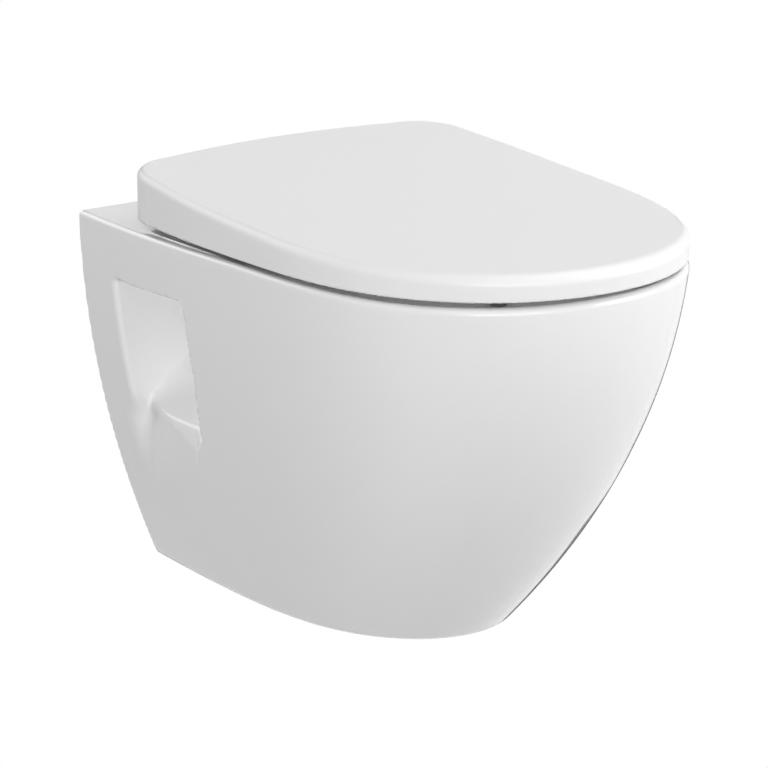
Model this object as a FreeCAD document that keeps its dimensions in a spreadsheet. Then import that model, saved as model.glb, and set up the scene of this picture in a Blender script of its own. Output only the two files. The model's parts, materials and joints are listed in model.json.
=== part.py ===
import FreeCAD, Part
import os
from math import cos, pi, radians, sin, sqrt
import Sketcher
from FreeCAD import Placement, Rotation, Vector

# Wall hung toilet: a vitreous china pan, a seat ring and a wrap-over lid on one hinge line,
# and the fixings that come with them. Millimetres, +Z up, the front of the pan towards -Y,
# the wall at y = 0, and the origin midway between the two wall fixing holes.

doc = FreeCAD.newDocument("WallHungToilet")

# ---------------------------------------------------------------- driving dimensions
sheet = doc.addObject("Spreadsheet::Sheet", "Sizes")

dimensions = {
    # outside of the pan, at the rim and at the base; the sides swell by the bulge halfway down
    "rimHeight": 80.0,
    "panHeight": 325.3,
    "rimHalfWidth": 178.2,
    "baseHalfWidth": 100.1,
    "sideBulge": 12.6,
    "rimWallHalfWidth": 165.8,
    "baseWallHalfWidth": 89.4,
    "wallSideBulge": 17.0,
    "rimReach": 521.0,
    "baseReach": 345.6,
    "frontBulge": 41.3,
    "rimWidestBack": 227.6,
    "baseWidestBack": 165.4,
    "rimNoseFullness": 3.6,
    "baseNoseFullness": 2.6,
    "flankFullness": 1.6,
    "rimRound": 6.0,
    "baseRound": 5.0,
    # walls of the casting
    "skinWall": 11.0,
    "bowlWall": 11.0,
    "deckWall": 14.0,
    "flangeDepth": 43.0,
    # bowl
    "mouthHalfWidth": 131.0,
    "mouthFront": 479.0,
    "mouthRear": 150.0,
    "mouthMiddle": 300.0,
    "lipHeight": 30.0,
    "lipOverhang": 10.0,
    "waterwayRadius": 29.0,
    "trapStart": 262.0,
    "trapFoot": 190.0,
    "trapBend": 50.0,
    "trapClimb": 60.0,
    "sumpFloor": 14.0,
    # recess behind the bowl, open on both sides
    "windowTop": 33.0,
    "windowFront": 164.0,
    "windowCorner": 9.0,
    "archRadius": 150.0,
    "archTop": -22.0,
    "archHalfWidth": 123.0,
    "sillSlope": 2.22,
    # pipes
    "inletBore": 55.0,
    "inletHeight": 35.0,
    "inletSocket": 60.0,
    "inletWall": 9.0,
    "inletShoulder": 2.5,
    "outletOuter": 102.0,
    "outletDrop": 100.0,
    "outletLength": 50.0,
    "outletWall": 9.0,
    # wall fixings
    "fixingSpacing": 180.0,
    "fixingHole": 24.0,
    "fixingBore": 13.0,
    "sleeveGap": 0.05,
    "collarRadius": 14.0,
    "collarDepth": 3.0,
    "fixingWasherDepth": 2.5,
    "fixingNutRadius": 10.9,
    "fixingNutDepth": 10.0,
    "capRadius": 13.5,
    "capDepth": 24.0,
    "capWall": 1.8,
    "capRound": 4.0,
    # hinge line and its fixings
    "hingeSpacing": 155.0,
    "hingeHole": 16.0,
    "hingeBack": 114.0,
    "axisBack": 78.0,
    "axisHeight": 114.0,
    "baseDiscRadius": 20.0,
    "baseDiscHeight": 4.0,
    "barrelRadius": 10.0,
    "barrelLength": 20.0,
    "pillarDepth": 16.0,
    "pinRadius": 4.0,
    "pinInset": 3.0,
    "knuckleRadius": 11.0,
    "knuckleLength": 24.0,
    "knuckleGap": 0.5,
    "damperRadius": 7.5,
    "runningGap": 0.05,
    "boltRadius": 4.0,
    "boltHeadRadius": 7.0,
    "boltHeadHeight": 3.0,
    "boltLength": 44.0,
    "grommetFlangeRadius": 13.0,
    "grommetFlangeHeight": 4.0,
    "hingeWasherRadius": 12.0,
    "hingeWasherHeight": 2.0,
    "wingNutHeight": 10.0,
    "wingNutRadius": 7.0,
    "wingSpan": 17.0,
    "wingThickness": 3.0,
    # seat ring
    "ringLift": 6.0,
    "ringThickness": 16.0,
    "ringRound": 6.0,
    "ringInset": 16.0,
    "ringRear": 110.0,
    "ringHoleHalfWidth": 108.0,
    "ringHoleFront": 460.0,
    "ringHoleRear": 178.0,
    "ringHoleMiddle": 320.0,
    "bufferRadius": 11.0,
    "bufferSeat": 0.2,
    "bufferFrontSide": 75.0,
    "bufferFrontBack": 474.0,
    "bufferRearSide": 140.0,
    "bufferRearBack": 205.0,
    "lidBufferRadius": 6.0,
    "lidBufferFrontSide": 64.0,
    "lidBufferFrontBack": 470.0,
    "lidBufferMiddleSide": 138.0,
    "lidBufferMiddleBack": 330.0,
    # lid
    "lidHalfWidth": 177.1,
    "lidRearHalfWidth": 169.9,
    "lidReach": 524.6,
    "lidWidestBack": 281.3,
    "lidRear": 56.5,
    "lidRearBow": 10.3,
    "lidCornerRadius": 51.4,
    "lidFlankFullness": 3.2,
    "lidNoseFullness": 2.6,
    "lidNoseRoot": 2.08,
    "lidGap": 9.0,
    "lidRearTop": 135.4,
    "lidFrontTop": 110.6,
    "lidSag": 5.9,
    "lidRound": 7.0,
    "lidSkin": 4.0,
    "notchMargin": 3.5,
    "rearRelief": 6.0,
}
for row, (name, value) in enumerate(dimensions.items(), start=1):
    sheet.set(f"A{row}", name)
    sheet.set(f"B{row}", str(value))
    sheet.setAlias(f"B{row}", name)
doc.recompute()


def size(name):
    """The sheet's value of one driving dimension."""
    return float(sheet.get(name))


def bind(thing, **properties):
    """Bind properties of a document object to expressions of the sheet; a double underscore is a dot."""
    for name, expression in properties.items():
        thing.setExpression(name.replace("__", "."), expression)
    return thing


def cell(expression):
    """Write the sheet's aliases in an expression as references to the sheet."""
    words = expression.replace("(", " ( ").replace(")", " ) ").split()
    return " ".join(f"Sizes.{w}" if w in dimensions else w for w in words)


def put(thing, x="0", y="0", z="0", turn=None):
    """Place a document object by three expressions and a fixed rotation."""
    if turn is not None:
        thing.Placement = Placement(Vector(), turn)
    for axis, expression in zip("xyz", (x, y, z)):
        thing.setExpression(f"Placement.Base.{axis}", cell(expression))
    return thing


def add(kind, label):
    thing = doc.addObject(kind, label)
    thing.Label = label
    return thing


def solid(label, shape):
    """A feature that holds one free-form solid."""
    thing = add("Part::Feature", label)
    thing.Shape = shape
    return thing


def cylinder(label, radius, height):
    return bind(add("Part::Cylinder", label), Radius=cell(radius), Height=cell(height))


def joined(label, things):
    fuse = add("Part::MultiFuse", label)
    fuse.Shapes = things
    return fuse


def cut(label, base, tool):
    result = add("Part::Cut", label)
    result.Base = base
    result.Tool = tool
    return result


def group(label, things):
    """Separate solids that share one node."""
    result = add("Part::Compound", label)
    result.Links = things
    return result


def mirrored(thing):
    """The same piece on the other side of the toilet."""
    result = add("Part::Mirroring", thing.Label + "Mirror")
    result.Source = thing
    result.Normal = Vector(1, 0, 0)
    return result


# ---------------------------------------------------------------- sketches with bound corners
def originPlane(body, role):
    return next(f for f in body.Origin.OriginFeatures if f.Role == role)


def polygonSketch(body, name, role, corners):
    """A closed polygon whose corners are held by expressions of the sheet."""
    sketch = body.newObject("Sketcher::SketchObject", name)
    sketch.AttachmentSupport = [(originPlane(body, role), "")]
    sketch.MapMode = "FlatFace"
    count = len(corners)
    # a first rough shape with the corners in the right order round the origin
    rough = [Vector(20 + 10 * cos(2 * pi * i / count), 10 * sin(2 * pi * i / count), 0) for i in range(count)]
    for i in range(count):
        sketch.addGeometry(Part.LineSegment(rough[i], rough[(i + 1) % count]))
    for i in range(count):
        sketch.addConstraint(Sketcher.Constraint("Coincident", i, 2, (i + 1) % count, 1))
    for i, corner in enumerate(corners):
        for kind, expression in zip(("DistanceX", "DistanceY"), corner):
            here = rough[i].x if kind == "DistanceX" else rough[i].y
            index = sketch.addConstraint(Sketcher.Constraint(kind, -1, 1, i, 1, here))
            sketch.renameConstraint(index, f"{kind}{i}")
            sketch.setExpression(f"Constraints.{kind}{i}", cell(expression))
    return sketch


def circleSketch(body, name, role, x, y, radius):
    sketch = body.newObject("Sketcher::SketchObject", name)
    sketch.AttachmentSupport = [(originPlane(body, role), "")]
    sketch.MapMode = "FlatFace"
    sketch.addGeometry(Part.Circle(Vector(5, 5, 0), Vector(0, 0, 1), 3))
    for kind, expression, start in (("DistanceX", x, 5), ("DistanceY", y, 5)):
        index = sketch.addConstraint(Sketcher.Constraint(kind, -1, 1, 0, 3, start))
        sketch.renameConstraint(index, kind)
        sketch.setExpression(f"Constraints.{kind}", cell(expression))
    index = sketch.addConstraint(Sketcher.Constraint("Radius", 0, 3))
    sketch.renameConstraint(index, "Radius")
    sketch.setExpression("Constraints.Radius", cell(radius))
    return sketch


def turned(label, corners):
    """A piece turned about its own Z axis, from a half section of (radius, height) corners."""
    body = add("PartDesign::Body", label)
    sketch = polygonSketch(body, label + "Section", "XZ_Plane", corners)
    revolve = body.newObject("PartDesign::Revolution", label + "Turn")
    revolve.Profile = sketch
    revolve.ReferenceAxis = (sketch, ["V_Axis"])
    revolve.Angle = 360
    return body


# ---------------------------------------------------------------- outlines of the pan
rimHeight = size("rimHeight")
baseHeight = rimHeight - size("panHeight")
deckUnder = rimHeight - size("deckWall")


def swelling(share, top, bottom, bulge):
    """A size that goes from its rim value to its base value with a bulge halfway."""
    return top + (bottom - top) * share + 4 * bulge * share * (1 - share)


def panOutline(share, inset, rearY):
    """Points round one level of the pan, from the right of the wall to its left, drawn in by the inset."""
    wide = swelling(share, size("rimHalfWidth"), size("baseHalfWidth"), size("sideBulge")) - inset
    atWall = swelling(share, size("rimWallHalfWidth"), size("baseWallHalfWidth"), size("wallSideBulge"))
    atWall = atWall - inset
    tip = swelling(share, size("rimReach"), size("baseReach"), size("frontBulge")) - inset
    widest = size("rimWidestBack") + (size("baseWidestBack") - size("rimWidestBack")) * share
    fullness = size("rimNoseFullness") + (size("baseNoseFullness") - size("rimNoseFullness")) * share
    flank = []
    for step in range(5):
        part = step / 5
        x = atWall + (wide - atWall) * (1 - (1 - part) ** size("flankFullness"))
        flank.append((x, -widest * part))
    nose = []
    for step in range(9):
        part = sin(pi / 2 * step / 8)
        nose.append((wide * sqrt(max(0.0, 1 - part**fullness)), -widest - (tip - widest) * part))
    flank[0] = (flank[0][0], rearY)
    half = flank + nose
    return half + [(-x, y) for x, y in reversed(half[:-1])]


def panLevel(z, inset=0.0, rearY=0.0):
    share = (rimHeight - z) / size("panHeight")
    points = [Vector(x, y, z) for x, y in panOutline(share, inset, rearY)]
    curve = Part.BSplineCurve()
    curve.interpolate(points)
    return Part.Wire([curve.toShape(), Part.LineSegment(points[-1], points[0]).toShape()])


def panLoft(top, bottom, inset=0.0, rearY=0.0, levels=7):
    heights = [top + (bottom - top) * i / (levels - 1) for i in range(levels)]
    return Part.makeLoft([panLevel(z, inset, rearY) for z in heights], True, False)


def edgesAt(shape, z):
    """The edges that lie flat at one height, apart from the straight one along the wall."""
    found = []
    for edge in shape.Edges:
        box = edge.BoundBox
        if abs(box.ZMin - z) < 0.01 and abs(box.ZMax - z) < 0.01 and box.YLength > 1:
            found.append(edge)
    return found


# the blank reaches a little past the wall plane and is cut flat there
blank = panLoft(rimHeight, baseHeight, 0.0, 5.0)
blank = blank.makeFillet(size("rimRound"), edgesAt(blank, rimHeight))
blank = blank.makeFillet(size("baseRound"), edgesAt(blank, baseHeight))
wallSide = 2 * size("panHeight")
blank = blank.cut(Part.makeBox(2 * wallSide, wallSide, 2 * wallSide, Vector(-wallSide, 0, -wallSide)))


# ---------------------------------------------------------------- bowl and waterway
def ringCurve(z, halfWidth, front, rear, middle):
    """A closed egg-shaped curve at one height; front, rear and middle are distances from the wall."""
    points = []
    count = 16
    for i in range(count):
        angle = 2 * pi * i / count
        reach = front - middle if sin(angle) > 0 else middle - rear
        points.append(Vector(halfWidth * cos(angle), -middle - reach * sin(angle), z))
    curve = Part.BSplineCurve()
    curve.interpolate(points, PeriodicFlag=True)
    return Part.Wire([curve.toShape()])


lipBottom = rimHeight - size("lipHeight")
sumpBottom = baseHeight + size("sumpFloor")
waterway = size("waterwayRadius")

# the bowl from under its lip down to the sump: height share, half width, front and rear
bowlForm = (
    (0.00, size("mouthHalfWidth") + size("lipOverhang"), size("mouthFront") + size("lipOverhang") * 0.6,
     size("mouthRear") - size("lipOverhang")),
    (0.18, size("mouthHalfWidth"), size("mouthFront") - 11, size("mouthRear") + 26),
    (0.39, size("mouthHalfWidth") * 0.80, size("mouthFront") - 44, size("mouthRear") + 46),
    (0.60, size("mouthHalfWidth") * 0.54, size("mouthFront") - 96, size("mouthRear") + 58),
    (0.78, size("mouthHalfWidth") * 0.36, size("mouthFront") - 150, size("mouthRear") + 62),
    (0.90, size("mouthHalfWidth") * 0.29, size("mouthFront") - 178, size("mouthRear") + 62),
    (1.00, size("mouthHalfWidth") * 0.19, size("mouthFront") - 196, size("mouthRear") + 74),
)


def bowlLoft(wall):
    """The space of the bowl below its lip, grown by a wall."""
    wires = []
    for share, halfWidth, front, rear in bowlForm:
        z = lipBottom + (sumpBottom - lipBottom) * share
        z += wall if share == 0 else -wall if share == 1 else 0
        middle = min(size("mouthMiddle"), (front + rear) / 2)
        wires.append(ringCurve(z, halfWidth + wall, front + wall, rear - wall, middle))
    return Part.makeLoft(wires, True, False)


def mouthLoft(wall):
    wires = []
    for z in (rimHeight + 5, lipBottom - 1):
        wires.append(ringCurve(z, size("mouthHalfWidth") + wall, size("mouthFront") + wall,
                               size("mouthRear") - wall, size("mouthMiddle")))
    return Part.makeLoft(wires, True, False)


outletZ = -size("outletDrop")
outletInner = size("outletOuter") / 2 - size("outletWall")


def trapPath():
    """The waterway's centre line: out of the sump, up over the weir and back to level."""
    bend = size("trapBend")
    low = sumpBottom + waterway + 1
    high = outletZ + outletInner - waterway - 2
    climb = radians(size("trapClimb"))
    straight = (high - low - 2 * bend * (1 - cos(climb))) / sin(climb)
    rise = Vector(0, cos(climb), sin(climb))

    def bendPoint(start, turn, sign):
        return start + Vector(0, bend * sin(turn), sign * bend * (1 - cos(turn)))

    sump = Vector(0, -size("trapStart"), low)
    foot = Vector(0, -size("trapFoot"), low)
    footMiddle, footEnd = bendPoint(foot, climb / 2, 1), bendPoint(foot, climb, 1)
    weirStart = footEnd + rise * straight
    weirEnd = weirStart + Vector(0, bend * sin(climb), bend * (1 - cos(climb)))
    weirMiddle = weirEnd + Vector(0, -bend * sin(climb / 2), -bend * (1 - cos(climb / 2)))
    tail = Vector(0, -size("outletLength"), high)
    return Part.Wire([
        Part.LineSegment(sump, foot).toShape(),
        Part.Arc(foot, footMiddle, footEnd).toShape(),
        Part.LineSegment(footEnd, weirStart).toShape(),
        Part.Arc(weirStart, weirMiddle, weirEnd).toShape(),
        Part.LineSegment(weirEnd, tail).toShape(),
    ])


def trapPipe(wall):
    path = trapPath()
    start = path.Vertexes[0].Point
    disc = Part.Face(Part.Wire([Part.makeCircle(waterway + wall, start, Vector(0, 1, 0))]))
    return path.makePipe(disc)


def alongWallAxis(radius, depth, z, start=0.0):
    """A cylinder that goes from the wall into the pan."""
    return Part.makeCylinder(radius, depth, Vector(0, -start, z), Vector(0, -1, 0))


# ---------------------------------------------------------------- recess behind the bowl
archCentre = size("archTop") - size("archRadius")
farOut = size("rimHalfWidth") + 40


def recessProfile(wall):
    """Half of the recess's cross section: over the arch, down the sill, and out through the side."""
    radius = size("archRadius") - wall
    slope = Vector(1, 0, -size("sillSlope")).normalize()
    inward = Vector(slope.z, 0, -slope.x)
    archEnd = Vector(size("archHalfWidth"), 0, 0) + inward * wall
    archEnd.z = archCentre + sqrt(radius**2 - archEnd.x**2)
    sillEnd = archEnd + slope * ((farOut - archEnd.x) / slope.x)
    crown = Vector(0, 0, archCentre + radius)
    angle = 0.5 * (pi / 2 + Vector(archEnd.x, archEnd.z - archCentre, 0).getAngle(Vector(1, 0, 0)))
    middle = Vector(radius * cos(angle), 0, archCentre + radius * sin(angle))
    return archEnd, sillEnd, crown, middle


def recessPrism(wall, frontBack, rearBack, ceiling, windowTop):
    """The recess as a block along Y between two distances from the wall."""
    archEnd, sillEnd, crown, middle = recessProfile(wall)
    innerSkin = size("rimWallHalfWidth") - size("skinWall") - 4
    right = [archEnd, sillEnd, Vector(farOut, 0, windowTop)]
    if ceiling > windowTop:
        right += [Vector(innerSkin, 0, windowTop), Vector(innerSkin, 0, ceiling)]
    left = [Vector(-p.x, p.y, p.z) for p in reversed(right)]
    outline = right + left
    edges = [Part.LineSegment(a, b).toShape() for a, b in zip(outline, outline[1:])]
    leftEnd = outline[-1]
    edges.append(Part.Arc(leftEnd, crown, archEnd).toShape())
    wire = Part.Wire(Part.__sortEdges__(edges))
    face = Part.Face(wire)
    face.translate(Vector(0, -frontBack, 0))
    return face.extrude(Vector(0, frontBack - rearBack, 0))


def windowCorners(prism):
    """The recess's upper front edges, outside the inner skin, which are round."""
    found = []
    for edge in prism.Edges:
        spot = edge.BoundBox
        alongX = spot.XLength > 5 and spot.YLength < 0.01 and spot.ZLength < 0.01
        if alongX and abs(spot.YMin + size("windowFront")) < 0.01 and abs(spot.ZMin - size("windowTop")) < 0.01:
            found.append(edge)
    return found


bowlOuter = bowlLoft(size("bowlWall")).fuse(mouthLoft(size("bowlWall")))
ductOuter = alongWallAxis(size("inletBore") / 2 + size("inletWall"), size("mouthRear"), size("inletHeight"))
horn = alongWallAxis(size("outletOuter") / 2, size("outletLength") + 6, outletZ)
recess = recessPrism(0, size("windowFront"), size("flangeDepth"), deckUnder, size("windowTop"))
recess = recess.makeFillet(size("windowCorner"), windowCorners(recess))
recess = recess.cut(bowlOuter.fuse(ductOuter))
recess = max(recess.Solids, key=lambda piece: piece.Volume)

recessShell = recessPrism(size("skinWall"), size("windowFront") + size("skinWall"), -20, rimHeight + 20,
                          rimHeight + 20)
hollow = panLoft(deckUnder, baseHeight + size("skinWall"), size("skinWall"), 5.0)
hollow = hollow.cut(recessShell).cut(bowlOuter).cut(trapPipe(size("outletWall"))).cut(horn)
hollow = max(hollow.Solids, key=lambda piece: piece.Volume)

# ---------------------------------------------------------------- the pan
# flush water goes from the round socket at the wall to a flat slot under the rim
slotHeight = size("inletBore") * 0.5
inletThroat = size("inletBore") / 2 - size("inletShoulder")
slotWires = []
for back, halfWidth, halfHeight, z in (
    (size("inletSocket") - 1, inletThroat, inletThroat, size("inletHeight")),
    (size("mouthRear") + 12, size("inletBore") * 0.7, slotHeight / 2, lipBottom - slotHeight / 2 - 2),
):
    points = []
    for i in range(24):
        angle = 2 * pi * i / 24
        points.append(Vector(halfWidth * cos(angle), -back, z + halfHeight * sin(angle)))
    curve = Part.BSplineCurve()
    curve.interpolate(points, PeriodicFlag=True)
    slotWires.append(Part.Wire([curve.toShape()]))

casting = blank
outletBore = alongWallAxis(outletInner, size("outletLength") + 1, outletZ, -1)
for space in (hollow, recess, trapPipe(0), outletBore, bowlLoft(0), mouthLoft(0),
              Part.makeLoft(slotWires, True, False)):
    casting = casting.cut(space)
casting = solid("casting", casting)
spaces = []
alongWall = Rotation(Vector(1, 0, 0), 90)
inlet = cylinder("flushInlet", "inletBore / 2", "inletSocket + 1")
spaces.append(put(inlet, "0", "1", "inletHeight", alongWall))
for side, sign in (("Left", "-1"), ("Right", "1")):
    hole = cylinder("fixingHole" + side, "fixingHole / 2", "flangeDepth + 2")
    spaces.append(put(hole, f"{sign} * fixingSpacing / 2", "1", "0", alongWall))
    hole = cylinder("hingeHole" + side, "hingeHole / 2", "deckWall + 2")
    spaces.append(put(hole, f"{sign} * hingeSpacing / 2", "0 - hingeBack", "rimHeight - deckWall - 1"))
pan = cut("pan", casting, joined("drillings", spaces))


# ---------------------------------------------------------------- lid
def lidHalf(inset):
    """Half of the lid's outline, from the middle of the rear edge to the tip, drawn in by the inset."""
    wide = size("lidHalfWidth") - inset
    rearWide = size("lidRearHalfWidth") - inset
    corner = size("lidCornerRadius") - inset
    cornerBack = size("lidRear") + size("lidRearBow") + inset
    centreX, centreBack = rearWide - corner, cornerBack + corner
    widest = size("lidWidestBack")
    points = []
    for step in range(3):
        part = step / 3
        points.append((centreX * part, -(cornerBack - size("lidRearBow") * (1 - part**2))))
    for step in range(5):
        angle = pi / 2 * (1 - step / 4)
        points.append((centreX + corner * cos(angle), -(centreBack - corner * sin(angle))))
    for step in (1, 2, 3):
        part = step / 4
        back = centreBack + (widest - centreBack) * part
        points.append((rearWide + (wide - rearWide) * (1 - (1 - part) ** size("lidFlankFullness")), -back))
    for step in range(9):
        part = sin(pi / 2 * step / 8)
        x = wide * max(0.0, 1 - part ** size("lidNoseFullness")) ** (1 / size("lidNoseRoot"))
        points.append((x, -(widest + (size("lidReach") - inset - widest) * part)))
    return points


def lidPrism(inset, bottom, top):
    """The lid's outline as an upright block."""
    sides = []
    for sign in (1, -1):
        points = [Vector(sign * x, y, bottom) for x, y in lidHalf(inset)]
        curve = Part.BSplineCurve()
        curve.interpolate(Points=points, InitialTangent=Vector(sign, 0, 0), FinalTangent=Vector(-sign, 0, 0))
        sides.append(curve.toShape())
    outline = Part.Wire(Part.__sortEdges__(sides))
    return Part.Face(outline).extrude(Vector(0, 0, top - bottom))


lidLength = size("lidReach") - size("lidRear")
lidBottom = rimHeight + size("lidGap")
aboveLid = size("lidRearTop") + 40


def lidTop(y):
    """Height of the lid's top at one place along its length, which sags a little in the middle."""
    part = (-y - size("lidRear")) / lidLength
    fall = (size("lidRearTop") - size("lidFrontTop")) * part
    return size("lidRearTop") - fall - 4 * size("lidSag") * part * (1 - part)


def underLidTop(drop):
    """Everything below the lid's top, lowered by the drop: an arc along the lid, drawn out sideways."""
    ends = size("lidRear") - 20, (size("lidRear") + size("lidReach")) / 2, size("lidReach") + 20
    rear, middle, front = [Vector(-farOut, -back, lidTop(-back) - drop) for back in ends]
    low = rimHeight - 20
    feet = Vector(-farOut, front.y, low), Vector(-farOut, rear.y, low)
    section = Part.Wire([
        Part.Arc(rear, middle, front).toShape(),
        Part.LineSegment(front, feet[0]).toShape(),
        Part.LineSegment(feet[0], feet[1]).toShape(),
        Part.LineSegment(feet[1], rear).toShape(),
    ])
    return Part.Face(section).extrude(Vector(2 * farOut, 0, 0))


lidOuter = lidPrism(0, lidBottom, aboveLid).common(underLidTop(0))
topEdges = [e for e in lidOuter.Edges if e.BoundBox.ZMin > lidBottom + 5 and e.BoundBox.YLength > 100]
lidOuter = lidOuter.makeFillet(size("lidRound"), topEdges)
lidInner = lidPrism(size("lidSkin"), lidBottom - 5, aboveLid).common(underLidTop(size("lidSkin")))

axis = Vector(0, -size("axisBack"), size("axisHeight"))
hingeX = size("hingeSpacing") / 2
barrelHalf = size("barrelLength") / 2
ringKnuckleEnd = hingeX - barrelHalf - size("knuckleGap")
ringKnuckleStart = ringKnuckleEnd - size("knuckleLength")
lidKnuckleStart = hingeX + barrelHalf + size("knuckleGap")
lidKnuckleEnd = lidKnuckleStart + size("knuckleLength")


def alongX(radius, start, end):
    """A rod along the hinge line."""
    return Part.makeCylinder(radius, end - start, Vector(start, axis.y, axis.z), Vector(1, 0, 0))


def box(x0, x1, y0, y1, z0, z1):
    return Part.makeBox(x1 - x0, y1 - y0, z1 - z0, Vector(x0, y0, z0))


lidShape = lidOuter.cut(lidInner)
# the rear wall stops short of the deck, because it swings down behind the hinge line
lidShape = lidShape.cut(box(-hingeX, hingeX, axis.y, 0, lidBottom - 5, lidBottom + size("rearRelief")))
notchStart = ringKnuckleStart - size("notchMargin")
notchEnd = hingeX + size("baseDiscRadius") + size("notchMargin")
lidKnuckles = []
for sign in (1, -1):
    start, end = sorted((sign * notchStart, sign * notchEnd))
    rear = box(start, end, axis.y + size("knuckleRadius") / 2, 0, lidBottom - 5, lidTop(axis.y) - size("lidSkin"))
    lidShape = lidShape.cut(rear)
    start, end = sorted((sign * lidKnuckleStart, sign * lidKnuckleEnd))
    knuckle = alongX(size("knuckleRadius"), start, end)
    web = box(start, end, axis.y - size("knuckleRadius"), axis.y + size("knuckleRadius"), axis.z, aboveLid)
    web = web.common(underLidTop(size("lidSkin") / 2)).common(lidPrism(1, 0, aboveLid))
    knuckle = knuckle.fuse(web)
    lidKnuckles.append(knuckle)
lidShape = lidShape.multiFuse(lidKnuckles)
for sign in (1, -1):
    start, end = sorted((sign * (lidKnuckleStart - 1), sign * (lidKnuckleEnd + 0.01)))
    lidShape = lidShape.cut(alongX(size("damperRadius") + size("runningGap") / 2, start, end))
lid = solid("lid", lidShape)

# ---------------------------------------------------------------- seat ring
ringBottom = rimHeight + size("ringLift")
ringTop = ringBottom + size("ringThickness")
ringShape = lidPrism(size("ringInset"), ringBottom, ringTop)
ringShape = ringShape.cut(box(-farOut, farOut, -size("ringRear"), 0, ringBottom - 1, ringTop + 1))
hole = Part.makeLoft([ringCurve(z, size("ringHoleHalfWidth"), size("ringHoleFront"), size("ringHoleRear"),
                                size("ringHoleMiddle")) for z in (ringBottom - 1, ringTop + 1)], True, False)
ringShape = ringShape.cut(hole)
roundEdges = []
for edge in ringShape.Edges:
    edgeBox = edge.BoundBox
    if edgeBox.ZMin > ringTop - 0.01 and edgeBox.YLength > 60:
        roundEdges.append(edge)
ringShape = ringShape.makeFillet(size("ringRound"), roundEdges)
pillarFront = -size("hingeBack") - size("pillarDepth") / 2
for sign in (1, -1):
    start, end = sorted((sign * (hingeX - barrelHalf - 1), sign * (hingeX + barrelHalf + 1)))
    ringShape = ringShape.cut(box(start, end, pillarFront - 4, 0, ringBottom - 1, ringTop + 1))
    start, end = sorted((sign * ringKnuckleStart, sign * ringKnuckleEnd))
    knuckle = alongX(size("knuckleRadius"), start, end)
    # the arm rises from the ring's rear edge to the knuckle
    armFront = -size("ringRear") - 12
    armLow = Vector(start, armFront, ringBottom)
    tangentBack = axis.y + size("knuckleRadius") * 0.2
    corners = [armLow, Vector(start, -size("ringRear") + 4, ringBottom),
               Vector(start, tangentBack, axis.z - size("knuckleRadius") * 0.98),
               Vector(start, tangentBack, axis.z + size("knuckleRadius") * 0.98),
               Vector(start, armFront, ringTop)]
    arm = Part.Face(Part.makePolygon(corners + [armLow])).extrude(Vector(end - start, 0, 0))
    ringShape = ringShape.multiFuse([knuckle, arm])
    start, end = sorted((sign * (ringKnuckleStart - 0.01), sign * (ringKnuckleEnd + 1)))
    ringShape = ringShape.cut(alongX(size("damperRadius") + size("runningGap") / 2, start, end))
ring = solid("seat_ring", ringShape)

# buffers under the ring stand on the rim, and buffers under the lid stand on the ring
ringBuffers = []
lidBuffers = []
for side in ("Left", "Right"):
    sign = "-1" if side == "Left" else "1"
    for place in ("Front", "Rear"):
        buffer = cylinder(f"seatBuffer{place}{side}", "bufferRadius", "ringLift - bufferSeat")
        ringBuffers.append(put(buffer, f"{sign} * buffer{place}Side", f"0 - buffer{place}Back",
                               "rimHeight + bufferSeat"))
for sign in (1, -1):
    for place in ("Front", "Middle"):
        foot = Vector(sign * size(f"lidBuffer{place}Side"), -size(f"lidBuffer{place}Back"),
                      ringTop + size("bufferSeat"))
        pad = Part.makeCylinder(size("lidBufferRadius"), size("lidRearTop") - foot.z, foot)
        lidBuffers.append(solid(f"lidBuffer{len(lidBuffers)}", pad.common(underLidTop(size("lidSkin")))))
seatBuffers = group("seat_buffers", ringBuffers)
lidBufferGroup = group("lid_buffers", lidBuffers)

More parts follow.
